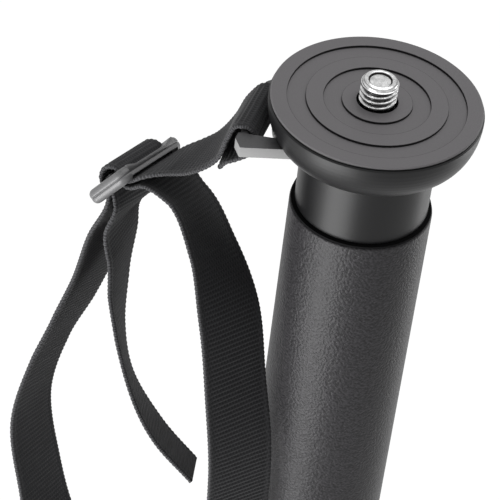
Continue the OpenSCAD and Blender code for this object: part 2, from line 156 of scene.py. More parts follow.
@dataclass(frozen=True)
class Finish:
    """A painted or moulded surface with a fine grain; other finishes build on it."""

    name: str
    colour: str
    roughness: float
    metallic: float = 0.0
    specular: float = 0.5
    grain_mm: float = 0.4
    grain_depth_mm: float = 0.01
    grain_detail: float = 3.0
    grain_roughness: float = 0.6
    grain_range: tuple[float, float] = (0.3, 0.7)
    mottle: float = 0.08
    sheen: float = 0.0
    sheen_roughness: float = 0.45
    # Painted light and shade by facing: a flat colour for upright walls, and how little of a wall's normal
    # points up
    painted_wall_shading: str = ""
    wall_tilt: float = 0.35

    def material(self) -> bpy.types.Material:
        """Makes the material on first use.

        Returns:
            The material.
        """
        found = bpy.data.materials.get(self.name)
        if found:
            return found
        made = bpy.data.materials.new(self.name)
        tree = emptied(made)
        shader = add_node(tree, "ShaderNodeBsdfPrincipled", inputs={
            "Base Color": linear(self.colour), "Roughness": self.roughness, "Metallic": self.metallic,
            "Specular IOR Level": self.specular, "Sheen Weight": self.sheen,
            "Sheen Roughness": self.sheen_roughness})
        add_node(tree, "ShaderNodeOutputMaterial", inputs={"Surface": shader.outputs["BSDF"]})
        self.dress(tree, shader)
        return made

    def dress(self, tree: Tree, shader: Node) -> None:
        """Adds the grain.

        Args:
            tree: the material's node tree.
            shader: its surface shader.
        """
        where = add_node(tree, "ShaderNodeTexCoord").outputs["Object"]
        grain = self.noise(tree, where, self.grain_mm)
        self.mottled(tree, shader, grain)
        self.bumped(tree, shader, grain, self.grain_depth_mm)
        self.paint_wall_shading(tree, shader)

    def noise(self, tree: Tree, where: Socket, size_mm: float) -> Socket:
        """Adds a random pattern.

        Args:
            tree: the material's node tree.
            where: the coordinates that it follows, in metres.
            size_mm: how far apart its blotches are.

        Returns:
            The pattern, stretched to run from 0 to 1.
        """
        soft = add_node(tree, "ShaderNodeTexNoise", inputs={
            "Vector": where, "Scale": 1 / (size_mm * MM), "Detail": self.grain_detail,
            "Roughness": self.grain_roughness})
        low, high = self.grain_range
        return add_node(tree, "ShaderNodeMapRange", inputs={
            "Value": soft.outputs[0], "From Min": low, "From Max": high}).outputs[0]

    def recoloured(self, tree: Tree, shader: Node, share: Socket, colour: str) -> None:
        """Lays another colour over part of the surface.

        Args:
            tree: the material's node tree.
            shader: its surface shader, with a colour already linked.
            share: how much of the new colour shows, from 0 to 1.
            colour: the new colour.
        """
        below = shader.inputs["Base Color"].links[0].from_socket
        mix = add_node(tree, "ShaderNodeMix", {"data_type": "RGBA"},
                       {MIX_SHARE: share, MIX_BELOW: below, MIX_OVER: linear(colour)})
        tree.links.new(mix.outputs[MIX_RESULT], shader.inputs["Base Color"])

    def paint_wall_shading(self, tree: Tree, shader: Node) -> None:
        """Paints light and shade by facing: upright walls take their own flat colour, where one is asked for.

        Args:
            tree: the material's node tree.
            shader: its surface shader, with a colour already linked.
        """
        if self.painted_wall_shading:
            normal = add_node(tree, "ShaderNodeTexCoord").outputs["Normal"]
            tilt = add_node(tree, "ShaderNodeSeparateXYZ", inputs={0: normal})
            level = add_node(tree, "ShaderNodeMath", {"operation": "ABSOLUTE"}, {0: tilt.outputs["Z"]})
            wall = add_node(tree, "ShaderNodeMath", {"operation": "LESS_THAN"},
                            {0: level.outputs[0], 1: self.wall_tilt})
            self.recoloured(tree, shader, wall.outputs[0], self.painted_wall_shading)

    def mottled(self, tree: Tree, shader: Node, pattern: Socket) -> None:
        """Varies the colour by a pattern, from darker to lighter than written.

        Args:
            tree: the material's node tree.
            shader: its surface shader.
            pattern: from 0 to 1.
        """
        base = linear(self.colour)
        dark = tuple(c * (1 - self.mottle) for c in base[:3]) + (1.0,)
        light = tuple(c * (1 + self.mottle) for c in base[:3]) + (1.0,)
        mix = add_node(tree, "ShaderNodeMix", {"data_type": "RGBA"},
                       {MIX_SHARE: pattern, MIX_BELOW: dark, MIX_OVER: light})
        tree.links.new(mix.outputs[MIX_RESULT], shader.inputs["Base Color"])

    def bumped(self, tree: Tree, shader: Node, pattern: Socket, depth_mm: float) -> None:
        """Raises the surface by a pattern.

        Args:
            tree: the material's node tree.
            shader: its surface shader.
            pattern: heights, as shares of the depth.
            depth_mm: height that a share of one stands for.
        """
        bump = add_node(tree, "ShaderNodeBump", inputs={
            "Strength": 1.0, "Distance": depth_mm * MM, "Height": pattern})
        tree.links.new(bump.outputs["Normal"], shader.inputs["Normal"])


@dataclass(frozen=True)
class TurnedFinish(Finish):
    """Metal turned on a lathe: fine rings about the leg's axis, on level faces and down the walls."""

    ring_mm: float = 0.55
    ring_depth_mm: float = 0.002
    ring_axes: tuple[float, float, float] = (1, 1, 0.4)
    # Thin lines of painted shade round the steps' edges: their radii, width and colour
    shade_lines_r: tuple[float, ...] = ()
    shade_line_mm: float = 0.16
    shade_line_colour: str = "#3e3c3e"

    def dress(self, tree: Tree, shader: Node) -> None:
        """Adds the turning rings, a little mottle, painted shade lines at the steps' edges, and painted wall
        shading.

        Args:
            tree: the material's node tree.
            shader: its surface shader.
        """
        where = add_node(tree, "ShaderNodeTexCoord").outputs["Object"]
        flat = add_node(tree, "ShaderNodeVectorMath", {"operation": "MULTIPLY"},
                        {0: where, 1: self.ring_axes})
        radius = add_node(tree, "ShaderNodeVectorMath", {"operation": "LENGTH"}, {0: flat.outputs[0]})
        turns = add_node(tree, "ShaderNodeMath", {"operation": "MULTIPLY"},
                         {0: radius.outputs["Value"], 1: math.tau / (self.ring_mm * MM)})
        wave = add_node(tree, "ShaderNodeMath", {"operation": "SINE"}, {0: turns.outputs[0]})
        self.bumped(tree, shader, wave.outputs[0], self.ring_depth_mm)
        self.mottled(tree, shader, self.noise(tree, where, self.grain_mm))
        for line in self.shade_lines_r:
            near = add_node(tree, "ShaderNodeMath", {"operation": "COMPARE"},
                            {0: radius.outputs["Value"], 1: line * MM, 2: self.shade_line_mm * MM / 2})
            self.recoloured(tree, shader, near.outputs[0], self.shade_line_colour)
        self.paint_wall_shading(tree, shader)


@dataclass(frozen=True)
class ThreadFinish(TurnedFinish):
    """Bright turned metal with painted shade in its thread's roots and on the wall of the cup in its end."""

    # Painted shade in the thread's roots and on the cup's wall, and the radii and height that bound it
    root_shade_colour: str = "#262625"
    root_r: float = 3.9
    crest_r: float = 4.4
    cup_floor_r: float = 2.62
    rim_z: float = 6.44

    def dress(self, tree: Tree, shader: Node) -> None:
        """Adds the turning rings and the painted shade in the roots, by distance from the axis and by height.

        Args:
            tree: the material's node tree.
            shader: its surface shader.
        """
        super().dress(tree, shader)
        where = add_node(tree, "ShaderNodeTexCoord").outputs["Object"]
        flat = add_node(tree, "ShaderNodeVectorMath", {"operation": "MULTIPLY"}, {0: where, 1: (1, 1, 0)})
        length = add_node(tree, "ShaderNodeVectorMath", {"operation": "LENGTH"}, {0: flat.outputs[0]})
        radius = length.outputs["Value"]
        height = add_node(tree, "ShaderNodeSeparateXYZ", inputs={0: where}).outputs["Z"]
        # Painted shade: darker towards the roots, below the rim and off the cup's floor
        root = add_node(tree, "ShaderNodeMapRange", inputs={
            "Value": radius, "From Min": self.crest_r * MM, "From Max": self.root_r * MM})
        under_rim = add_node(tree, "ShaderNodeMath", {"operation": "LESS_THAN"},
                             {0: height, 1: self.rim_z * MM})
        off_floor = add_node(tree, "ShaderNodeMath", {"operation": "GREATER_THAN"},
                             {0: radius, 1: self.cup_floor_r * MM})
        side = add_node(tree, "ShaderNodeMath", {"operation": "MULTIPLY"},
                        {0: under_rim.outputs[0], 1: off_floor.outputs[0]})
        dark = add_node(tree, "ShaderNodeMath", {"operation": "MULTIPLY"},
                        {0: side.outputs[0], 1: root.outputs[0]})
        self.recoloured(tree, shader, dark.outputs[0], self.root_shade_colour)


@dataclass(frozen=True)
class WovenFinish(Finish):
    """Polyester webbing: ribs across, with warp yarns passing over and under them."""

    rib_mm: float = RIB_PITCH
    yarn_mm: float = 0.95
    fibre_mm: float = 0.25
    half_width: float = STRAP_WIDTH / 2
    # Painted highlight dotted along the selvages, on the weft's loops: its colour, where it lies and how the
    # dots are cut
    selvage_highlight_colour: str = "#505052"
    edge_mm: tuple[float, float] = (0.55, 0.1)
    dot_range: tuple[float, float] = (-0.2, 0.8)

    def dress(self, tree: Tree, shader: Node) -> None:
        """Adds the weave, which follows the webbing by its own map in millimetres.

        Args:
            tree: the material's node tree.
            shader: its surface shader.
        """
        weave = add_node(tree, "ShaderNodeUVMap", {"uv_map": "weave"})
        axes = add_node(tree, "ShaderNodeSeparateXYZ", inputs={0: weave.outputs[0]})
        waves = []
        for axis, period in (("X", self.yarn_mm), ("Y", 2 * self.rib_mm)):
            turn = add_node(tree, "ShaderNodeMath", {"operation": "MULTIPLY"},
                            {0: axes.outputs[axis], 1: math.tau / period})
            wave = add_node(tree, "ShaderNodeMath", {"operation": "COSINE"}, {0: turn.outputs[0]})
            waves.append(wave.outputs[0])
        cross = add_node(tree, "ShaderNodeMath", {"operation": "MULTIPLY"}, {0: waves[0], 1: waves[1]})
        # The crossed waves run from -1 to 1, and the yarns from 0 to 1
        yarns = add_node(tree, "ShaderNodeMath", {"operation": "MULTIPLY_ADD"},
                         {0: cross.outputs[0], 1: 0.5, 2: 0.5})
        # The map is in millimetres where a pattern expects metres, so the fibre's size is scaled up
        fibre = self.noise(tree, weave.outputs[0], self.fibre_mm / MM)
        both = add_node(tree, "ShaderNodeMath", {"operation": "MULTIPLY"}, {0: yarns.outputs[0], 1: fibre})
        self.mottled(tree, shader, both.outputs[0])
        self.bumped(tree, shader, both.outputs[0], self.grain_depth_mm)
        self.dot_selvage_highlights(tree, shader, axes)

    def dot_selvage_highlights(self, tree: Tree, shader: Node, axes: Node) -> None:
        """Dots the selvages with painted highlight where the weft turns back.

        Args:
            tree: the material's node tree.
            shader: its surface shader.
            axes: the webbing's own map, across and along.
        """
        side = add_node(tree, "ShaderNodeMath", {"operation": "ABSOLUTE"}, {0: axes.outputs["X"]})
        edge = add_node(tree, "ShaderNodeMapRange", inputs={
            "Value": side.outputs[0], "From Min": self.half_width - self.edge_mm[0],
            "From Max": self.half_width - self.edge_mm[1]})
        turn = add_node(tree, "ShaderNodeMath", {"operation": "MULTIPLY"},
                        {0: axes.outputs["Y"], 1: 2 * math.tau / self.rib_mm})
        wave = add_node(tree, "ShaderNodeMath", {"operation": "COSINE"}, {0: turn.outputs[0]})
        low, high = self.dot_range
        dots = add_node(tree, "ShaderNodeMapRange", inputs={
            "Value": wave.outputs[0], "From Min": low, "From Max": high})
        share = add_node(tree, "ShaderNodeMath", {"operation": "MULTIPLY"},
                         {0: edge.outputs[0], 1: dots.outputs[0]})
        self.recoloured(tree, shader, share.outputs[0], self.selvage_highlight_colour)


# Grey powder coat on a turned aluminium plate: matt, with concentric tool marks, which are drawn coarse
# enough to show.
# Its step walls and a thin line round each step's edge are painted dark: painted shade in the recesses
PLATE = TurnedFinish("powder_coated_turned_aluminium", "#6f6d6f", 0.55, specular=0.3, mottle=0.04,
                     painted_wall_shading="#060607", shade_lines_r=(8.9, 13.5, 17.9, 22.6))
# Satin black stove paint on cast aluminium: smooth soft highlights with a slight orange peel
HEAD_PAINT = Finish("satin_black_paint", "#0e0e0f", 0.4, specular=0.24, grain_mm=0.9, grain_depth_mm=0.004)
# Bright turned steel: mirror-like with fine tool rings
STEEL = TurnedFinish("bright_turned_steel", "#d8d8d8", 0.16, metallic=1.0, ring_mm=0.25,
                     ring_depth_mm=0.002, mottle=0.04)
# The same steel on the stud, with painted shade darkening the thread's roots and the wall of the cup
STUD_STEEL = ThreadFinish("bright_threaded_steel", "#c4c4c4", 0.2, metallic=1.0, grain_mm=1.1,
                          ring_mm=0.25, ring_depth_mm=0.002, mottle=0.35)
# Zinc-plated steel: duller and slightly warm
ZINC = Finish("zinc_plated_steel", "#8d8d8a", 0.38, metallic=1.0, mottle=0.06)
# Dark coated steel strip, stamped out after coating: dark faces; its upright sides are pale as sheared steel
# and lightened further with painted light
LUG_PLATE = Finish("coated_steel_painted_light_sides", "#4b4b4c", 0.5, specular=0.3, grain_mm=0.8, grain_depth_mm=0.006,
                   painted_wall_shading="#929292")
# Black polyester webbing: ribbed weave with a soft fibre sheen
WEBBING = WovenFinish("ribbed_polyester_webbing", "#323234", 0.8, specular=0.25, mottle=0.5,
                      grain_depth_mm=0.07, sheen=0.12)
# Polyester sewing thread, a little paler than the webbing
THREAD = Finish("polyester_thread", "#4a4a4c", 0.6, grain_mm=0.2, grain_depth_mm=0.02, mottle=0.2,
                sheen=0.1)
# Moulded acetal slider: grey satin with a fine moulded grain
SLIDER = Finish("moulded_acetal_satin", "#626263", 0.42, grain_mm=0.5, grain_depth_mm=0.012, mottle=0.06)
# Closed-cell foam: a low satin sheen over a stipple of cut cells, drawn coarse enough to show
FOAM = Finish("closed_cell_foam", "#272628", 0.45, specular=0.22, grain_mm=0.65, grain_depth_mm=0.085,
              grain_detail=0.7, mottle=0.5)
# Moulded rubber: a deep dull black; on the grip's top ring it is also painted shade for the gap under the
# neck
RUBBER = Finish("moulded_black_rubber", "#09090a", 0.85, specular=0.1, grain_mm=0.6, grain_depth_mm=0.02)
# Black anodised drawn tube: even satin sheen
ANODISED = Finish("black_anodised_tube", "#1d1d1f", 0.4, specular=0.4, grain_mm=0.3, grain_depth_mm=0.003)
# Glass-filled nylon of the lock parts: fine spark-eroded texture
NYLON = Finish("glass_filled_nylon", "#1b1b1c", 0.55, specular=0.3, grain_mm=0.45, grain_depth_mm=0.03,
               mottle=0.1)
# Natural acetal of the bushes: off-white and waxy
ACETAL = Finish("natural_acetal", "#d8d6cf", 0.45, mottle=0.02)


def deselect() -> None:
    """Leaves edit mode and deselects everything."""
    if bpy.context.mode != "OBJECT":
        bpy.ops.object.mode_set(mode="OBJECT")
    bpy.ops.object.select_all(action="DESELECT")


def named(name: str) -> Piece:
    """Names the object that an operator has just made.

    Args:
        name: of the object and its mesh.

    Returns:
        The object.
    """
    obj = bpy.context.object
    obj.name = obj.data.name = name
    return obj


def added(name: str, data: bpy.types.ID) -> Piece:
    """Puts a new object into the scene.

    Args:
        name: of the object.
        data: its mesh, lamp or camera.

    Returns:
        The object.
    """
    obj = bpy.data.objects.new(name, data)
    bpy.context.scene.collection.objects.link(obj)
    return obj


def activate(obj: Piece) -> None:
    """Makes one object the only one selected, and the active one.

    Args:
        obj: the object.
    """
    deselect()
    obj.select_set(True)
    bpy.context.view_layer.objects.active = obj


def edit(obj: Piece) -> None:
    """Enters edit mode on one object with all of it selected.

    Args:
        obj: the object.
    """
    activate(obj)
    bpy.ops.object.mode_set(mode="EDIT")
    bpy.ops.mesh.select_mode(type="VERT")
    bpy.ops.mesh.select_all(action="SELECT")


def choose(obj: Piece, kind: Pick, test: Callable[[Any], bool]) -> None:
    """Selects, in edit mode, the elements that pass a test.

    Args:
        obj: the object in edit mode.
        kind: vertices, edges or faces.
        test: says whether an element is wanted.
    """
    bpy.ops.mesh.select_mode(type=kind.value)
    bpy.ops.mesh.select_all(action="DESELECT")
    shape = bmesh.from_edit_mesh(obj.data)
    elements = {Pick.VERT: shape.verts, Pick.EDGE: shape.edges, Pick.FACE: shape.faces}[kind]
    for element in [e for e in elements if test(e)]:
        element.select_set(True)
    shape.select_flush_mode()
    bmesh.update_edit_mesh(obj.data)


def modify(obj: Piece, kind: str, **settings: Any) -> None:
    """Adds a modifier and applies it.

    Args:
        obj: the object.
        kind: Blender's name for the modifier.
        settings: the modifier's properties.
    """
    modifier = obj.modifiers.new(kind.lower(), kind)
    for key, value in settings.items():
        setattr(modifier, key, value)
    activate(obj)
    bpy.ops.object.modifier_apply(modifier=modifier.name)


def smooth(obj: Piece, angle: float = 35) -> None:
    """Shades an object smooth across edges flatter than an angle in degrees."""
    activate(obj)
    bpy.ops.object.shade_smooth_by_angle(angle=math.radians(angle))


def rounded(obj: Piece, width: float, segments: int = 3, angle: float = 40) -> None:
    """Rounds an object's sharp edges.

    Args:
        obj: the object.
        width: of the rounding, in millimetres.
        segments: faces across the rounding.
        angle: edges sharper than this, in degrees, are rounded.
    """
    modify(obj, "BEVEL", width=width * MM, segments=segments, limit_method="ANGLE",
           angle_limit=math.radians(angle), use_clamp_overlap=True)
    smooth(obj)


def turned(name: str, profile: Profile, steps: int = 160) -> Piece:
    """Turns a profile about the leg's axis.

    Args:
        name: of the new object.
        profile: radius and height of each point, in millimetres; a closed one ends where it begins.
        steps: faces round the axis.

    Returns:
        The turned object.
    """
    deselect()
    bpy.ops.mesh.primitive_plane_add(size=MM)
    obj = named(name)
    edit(obj)
    bpy.ops.mesh.merge(type="CENTER")
    here = Vector((0, 0, 0))
    for index, (radius, height) in enumerate(profile):
        there = Vector((radius * MM, 0, height * MM))
        if index == 0:
            bpy.ops.transform.translate(value=there - here)
        else:
            bpy.ops.mesh.extrude_region_move(TRANSFORM_OT_translate={"value": there - here})
        here = there
    bpy.ops.mesh.select_all(action="SELECT")
    bpy.ops.mesh.spin(steps=steps, angle=math.tau, center=(0, 0, 0), axis=(0, 0, 1))
    bpy.ops.mesh.select_all(action="SELECT")
    bpy.ops.mesh.remove_doubles(threshold=TURNED_MERGE * MM)
    bpy.ops.mesh.normals_make_consistent(inside=False)
    deselect()
    smooth(obj)
    return obj


def arc(centre: tuple[float, float], radii: tuple[float, float], start: float, end: float,
        count: int) -> Profile:
    """Returns points of an elliptic arc.

    Args:
        centre: of the ellipse.
        radii: of the ellipse.
        start: first angle, in degrees.
        end: last angle.
        count: steps along it.

    Returns:
        The points.
    """
    angles = [math.radians(start + (end - start) * k / count) for k in range(count + 1)]
    return [(centre[0] + radii[0] * math.cos(a), centre[1] + radii[1] * math.sin(a)) for a in angles]


def softened(node: str, name: str, width: float) -> Piece:
    """Copies a CAD node and breaks its sharp edges.

    Args:
        node: the CAD node.
        name: of the copy.
        width: of the edge rounding, in millimetres.

    Returns:
        The copy.
    """
    obj = added(name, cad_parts[node].data.copy())
    edit(obj)
    bpy.ops.mesh.customdata_custom_splitnormals_clear()
    bpy.ops.mesh.remove_doubles(threshold=CAD_MERGE * MM)
    bpy.ops.mesh.dissolve_limited(angle_limit=math.radians(FACET_ANGLE))
    deselect()
    rounded(obj, width, segments=2)
    return obj


def place(obj: Piece, body: Body, finish: Finish, slot: Slot, *nodes: str) -> Piece:
    """Gives a piece its finish and its body.

    Args:
        obj: the piece.
        body: that it moves with.
        finish: of its surface.
        slot: the record's material slot for it; not used.
        nodes: the CAD nodes that it stands for.

    Returns:
        The piece.
    """
    obj.data.materials.clear()
    obj.data.materials.append(finish.material())
    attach(obj, body.value)
    if nodes:
        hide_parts(*nodes)
    LOG.info("%s rides on %s for %s", obj.name, body.value, ", ".join(nodes) or "no node")
    return obj


def coat(finish: Finish, *nodes: str) -> None:
    """Gives CAD nodes that stay in view a finish.

    Args:
        finish: of their surface.
        nodes: their names.
    """
    for name in nodes:
        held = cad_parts[name].material_slots[0]
        held.link = "OBJECT"
        held.material = finish.material()
        LOG.info("%s keeps its shape", name)


@dataclass
class Slider:
    """Three-bar slider that the webbing passes through twice."""

    at: Vector = field(default_factory=lambda: Vector((-59.6, 7.5, -40.6)))
    along: Vector = field(default_factory=lambda: Vector((0.44, 0.89, -0.15)).normalized())
    across_hint: Vector = field(default_factory=lambda: Vector((-0.58, 0.15, -0.8)))
    length: float = 27
    width: float = 15.6
    thickness: float = 2.2
    end_thickness: float = 4.1
    corner: float = 3
    bar_width: float = 2.95
    # How far from the middle the face begins and ends its ramp up to an end
    ramp: tuple[float, float] = (6.5, 10.3)
    ramp_steps: int = 6
    # Length over which the back steps down to an end's full thickness
    end_step: float = 0.06
    edge: float = 0.85
    corner_segments: int = 8
    end_round: float = 1.5
    end_segments: int = 5
    middle_bar_r: float = 1.1
    middle_bar_sides: int = 24
    middle_bar_edge: float = 0.2
    seam: float = 0.2

    @property
    def across(self) -> Vector:
        """Direction across the bars."""
        return (self.across_hint - self.across_hint.dot(self.along) * self.along).normalized()

    @property
    def up(self) -> Vector:
        """Direction out of the slider's face."""
        return self.along.cross(self.across)

    def on(self, along: float, across: float, up: float) -> Vector:
        """Returns a point given in the slider's own directions."""
        return self.at + along * self.along + across * self.across + up * self.up

    def build(self) -> Piece:
        """Models the slider.

        Returns:
            The slider.
        """
        deselect()
        bpy.ops.mesh.primitive_cube_add(size=1)
        frame_bar = named("slider_frame")
        edit(frame_bar)
        bpy.ops.transform.resize(value=(self.length * MM, self.width * MM, self.thickness * MM))
        upright = self.thickness / 2 * MM
        choose(frame_bar, Pick.EDGE, lambda e: abs(e.verts[0].co.z - e.verts[1].co.z) > upright)
        bpy.ops.mesh.bevel(offset=self.corner * MM, segments=self.corner_segments, affect="EDGES")
        choose(frame_bar, Pick.FACE, lambda f: abs(f.normal.z) > LEVEL)
        bpy.ops.mesh.inset(thickness=self.bar_width * MM)
        bpy.ops.mesh.delete(type="FACE")
        bpy.ops.mesh.select_mode(type="EDGE")
        bpy.ops.mesh.select_non_manifold()
        bpy.ops.mesh.bridge_edge_loops()
        bpy.ops.mesh.select_all(action="SELECT")
        bpy.ops.mesh.normals_make_consistent(inside=False)
        self.thicken_ends(frame_bar)
        deselect()
        rounded(frame_bar, self.edge)
        self.cut_seam(frame_bar)
        bpy.ops.mesh.primitive_cylinder_add(
            vertices=self.middle_bar_sides, radius=self.middle_bar_r * MM,
            depth=(self.length - self.bar_width) * MM, rotation=(0, math.pi / 2, 0))
        bar = bpy.context.object
        bpy.ops.object.transform_apply(rotation=True)
        rounded(bar, self.middle_bar_edge)
        activate(frame_bar)
        bar.select_set(True)
        bpy.ops.object.join()
        turn = Matrix((self.along, self.across, self.up)).transposed().to_4x4()
        frame_bar.data.transform(Matrix.Translation(self.at * MM) @ turn)
        return place(frame_bar, Body.STRAP, SLIDER, Slot.SLIDER, "strap_slider")

    def thicken_ends(self, obj: Piece) -> None:
        """Thickens both ends of the frame: the face ramps up to them and the back steps down.

        Args:
            obj: the frame, in edit mode.
        """
        first, last = self.ramp
        raised = (last + self.end_step / 2) * MM
        near = self.end_step / 3 * MM
        cuts = [first + (last - first) * k / self.ramp_steps for k in range(1, self.ramp_steps + 1)]
        for reach in (first, *cuts, last + self.end_step):
            for side in (-1, 1):
                bpy.ops.mesh.select_all(action="SELECT")
                bpy.ops.mesh.bisect(plane_co=(side * reach * MM, 0, 0), plane_no=(1, 0, 0))
        rise = (self.end_thickness - self.thickness) / 2 * MM
        for way in (1, -1):
            choose(obj, Pick.VERT, lambda v: abs(v.co.x) > raised and v.co.z * way > 0)
            bpy.ops.transform.translate(value=(0, 0, way * rise))
        for k, reach in enumerate(cuts, 1):
            t = k / self.ramp_steps
            choose(obj, Pick.VERT, lambda v: abs(abs(v.co.x) - reach * MM) < near and v.co.z > 0)
            bpy.ops.transform.translate(value=(0, 0, rise * t * t * (3 - 2 * t)))

        def outer(e: Any) -> bool:
            """Says whether an edge runs round the outside of an end's top or bottom.

            Args:
                e: the edge.

            Returns:
                Whether it does.
            """
            middle = (e.verts[0].co + e.verts[1].co) / 2
            return (all(abs(v.co.x) > raised for v in e.verts)
                    and any(abs(f.normal.z) > LEVEL for f in e.link_faces)
                    and any(abs(f.normal.z) < UPRIGHT and f.normal.dot(middle) > 0 for f in e.link_faces))

        choose(obj, Pick.EDGE, outer)
        bpy.ops.mesh.bevel(
            offset=self.end_round * MM, segments=self.end_segments, affect="EDGES", clamp_overlap=True)

    def cut_seam(self, obj: Piece) -> None:
        """Cuts the mould's parting line into the outer side of the frame.

        Args:
            obj: the frame.
        """
        half = self.seam * MM / 2
        edit(obj)
        for height in (-half, half):
            bpy.ops.mesh.select_all(action="SELECT")
            bpy.ops.mesh.bisect(plane_co=(0, 0, height), plane_no=(0, 0, 1))
        reach = (self.length / 2 - self.bar_width / 2, self.width / 2 - self.bar_width / 2)
        choose(obj, Pick.FACE, lambda f: abs(f.calc_center_median().z) < half / 2 and (
            abs(f.calc_center_median().x) > reach[0] * MM or abs(f.calc_center_median().y) > reach[1] * MM))
        bpy.ops.mesh.extrude_region_shrink_fatten(TRANSFORM_OT_shrink_fatten={"value": -self.seam * MM})
        deselect()


@dataclass
class WristStrap:
    """One length of ribbed webbing: sewn round the lug, through the slider, round the wrist and back."""

    slider: Slider
    width: float = STRAP_WIDTH
    thickness: float = 1.3
    rib_pitch: float = RIB_PITCH
    rib_share: float = 0.5
    curve_steps: int = 24
    ring_step: float = 0.32
    scallop: float = 0.1
    # From the edge inwards: distance from it, share of the thickness, and how far the ribs show
    selvage: tuple[tuple[float, float, float], ...] = (
        (0, 0, 0), (0.08, 0.5, 0.2), (0.3, 0.86, 0.45), (0.8, 1, 0.5), (1.4, 0.95, 0.5), (1.75, 0.72, 0.2),
        (2.1, 1, 1))
    lug_bar: Vector = field(default_factory=lambda: Vector((-29.2, 0, -10)))
    lug_dir: Vector = field(default_factory=lambda: Vector((0.18, 0.98, 0)).normalized())
    lug_bar_r: float = 1.45
    wrap_gap: float = 0.35
    ply_shift: float = 0.2
    # Sharper folds than this many degrees show as an edge
    crease: float = 60
    stitch_rows: tuple[float, ...] = (24.5, 26.2, 32.0)
    stitch_pitch: float = 1.5
    stitch_length: float = 1.29
    stitch_width: float = 0.5
    stitch_height: float = 0.42
    stitch_margin: float = 1.5
    # Segments and rings of the ball that a stitch is drawn out of
    stitch_ball: tuple[int, int] = (8, 6)
    # Share of the webbing's thickness at which the stitches lie, from its middle
    stitch_seat: float = 0.47
    points: list[Vector] = field(default_factory=list)
    widths: list[Vector] = field(default_factory=list)
    length: float = 0.0

    def route(self) -> Route:
        """Gives the webbing's route, as in the part's source.

        Returns:
            Points of the middle line, each with the direction of the webbing's width there.
        """
        wrap = self.lug_bar_r + self.wrap_gap + self.thickness / 2
        out = Vector((-self.lug_dir.y, self.lug_dir.x, 0))
        u, on = self.slider.along, self.slider.on
        ply_in = self.slider.middle_bar_r + self.wrap_gap + self.thickness / 2

        def rows(*flat: tuple[float, ...]) -> Route:
            """Reads rows of a point and a direction."""
            return [(Vector(r[:3]), Vector(r[3:])) for r in flat]

        def round_bar(degrees: float) -> tuple[Vector, Vector]:
            """Finds a point of the wrap round the lug's bar.

            Args:
                degrees: its place round the bar, from the head's side over the top.

            Returns:
                The point, and the direction of the webbing's width there.
            """
            a = math.radians(degrees)
            spot = self.lug_bar - wrap * math.cos(a) * out + Vector((0, 0, wrap * math.sin(a)))
            return spot, self.lug_dir

        def through(shift: float, *spots: tuple[float, float]) -> Route:
            """Points of a ply beside the slider's bars."""
            return [(on(shift, v, n), u) for v, n in spots]

        s = self.ply_shift
        hump = [(ply_in * math.cos(math.radians(a)), ply_in * math.sin(math.radians(a)))
                for a in (135, 90, 45)]
        return (
            rows((-35.3, 1.5, -22.5, 0.14, 0.98, 0.04), (-34.3, 1.3, -20.8, 0.14, 0.98, 0.04),
                 (-31, 0.6, -18.6, 0.18, 0.98, 0.02), (-27.4, 0, -15.4, 0.18, 0.98, 0))
            + [round_bar(a) for a in (0, 75)]
            + rows((-31.4, 0.4, -8.2, 0.22, 0.97, 0), (-33.6, 0.8, -12, 0.17, 0.98, 0),
                   (-36.2, 1.5, -20, 0.14, 0.98, 0.04), (-40.8, 2.8, -26.6, 0.24, 0.97, 0),
                   (-46.4, 4.6, -31.4, 0.36, 0.92, -0.06))
            + through(s, (-7.6, -2.6), (-5.6, -2.2), (-4.1, -1.5), (-3.8, -0.1), (-3.1, 3), (-0.3, 4.7),
                      (2.8, 3.4), (4, -0.2), (4.2, -1.6), (5.4, -2.6))
            + rows((-65.3, 8.4, -58.5, 0.42, 0.9, 0), (-68.5, 9, -76.5, 0.48, 0.87, 0),
                   (-73.2, 7, -91, 0.48, 0.87, 0), (-78.6, 3.5, -105, 0.4, 0.9, 0),
                   (-82, -2, -122, 0.36, 0.93, 0), (-77.8, -8, -142, 0.36, 0.93, 0),
                   (-68, -15, -168, 0.48, 0.84, 0.15), (-50, -22, -184, 0.6, 0.7, 0.3),
                   (-31, -26, -172, 0.7, 0.6, 0.2), (-22, -26, -145, 0.78, 0.62, 0.1),
                   (-21, -24, -110, 0.76, 0.65, 0.05), (-25, -19, -87, 0.7, 0.7, 0),
                   (-29.6, -13, -66, 0.66, 0.74, 0), (-36.3, -6, -51, 0.5, 0.8, -0.28),
                   (-45, 0.6, -40, 0.46, 0.81, -0.35))
            + through(0, (-6.6, -4.4), (-4.2, -3.7), (-2.5, -2.2), (-ply_in, -0.6), *hump, (ply_in, -0.6),
                      (2.5, -2.3), (4.1, -4.6))
            + rows((-61.6, 5, -54.6, 0.32, 0.94, -0.05), (-61, 4.6, -64, 0.21, 0.95, 0),
                   (-60.8, 1.8, -76, 0.08, 0.99, 0), (-58.6, -4, -88, -0.14, 0.98, 0),
                   (-53.7, -10, -100, -0.22, 0.95, -0.2), (-44.8, -15, -111.5, -0.05, 0.9, -0.4),
                   (-33.6, -19, -120.5, 0.05, 0.86, -0.5)))

    def lay(self) -> None:
        """Runs a smooth curve through the route and spaces its points evenly."""
        rows = self.route()
        gaps = [(b[0] - a[0]).length for a, b in zip(rows, rows[1:])]
        fine: Route = []
        last = len(rows) - 1

        def step(k: int, i: int) -> Vector:
            """Slope of one stretch of the route."""
            return (rows[i + 1][k] - rows[i][k]) / gaps[i]

        def slope(k: int, i: int) -> Vector:
            """Finds the slope at one point of the route, by the distances on each side.

            Args:
                k: 0 for the points, 1 for the directions.
                i: the point.

            Returns:
                The slope.
            """
            if i in (0, last):
                return step(k, min(i, last - 1))
            return (step(k, i - 1) * gaps[i] + step(k, i) * gaps[i - 1]) / (gaps[i - 1] + gaps[i])

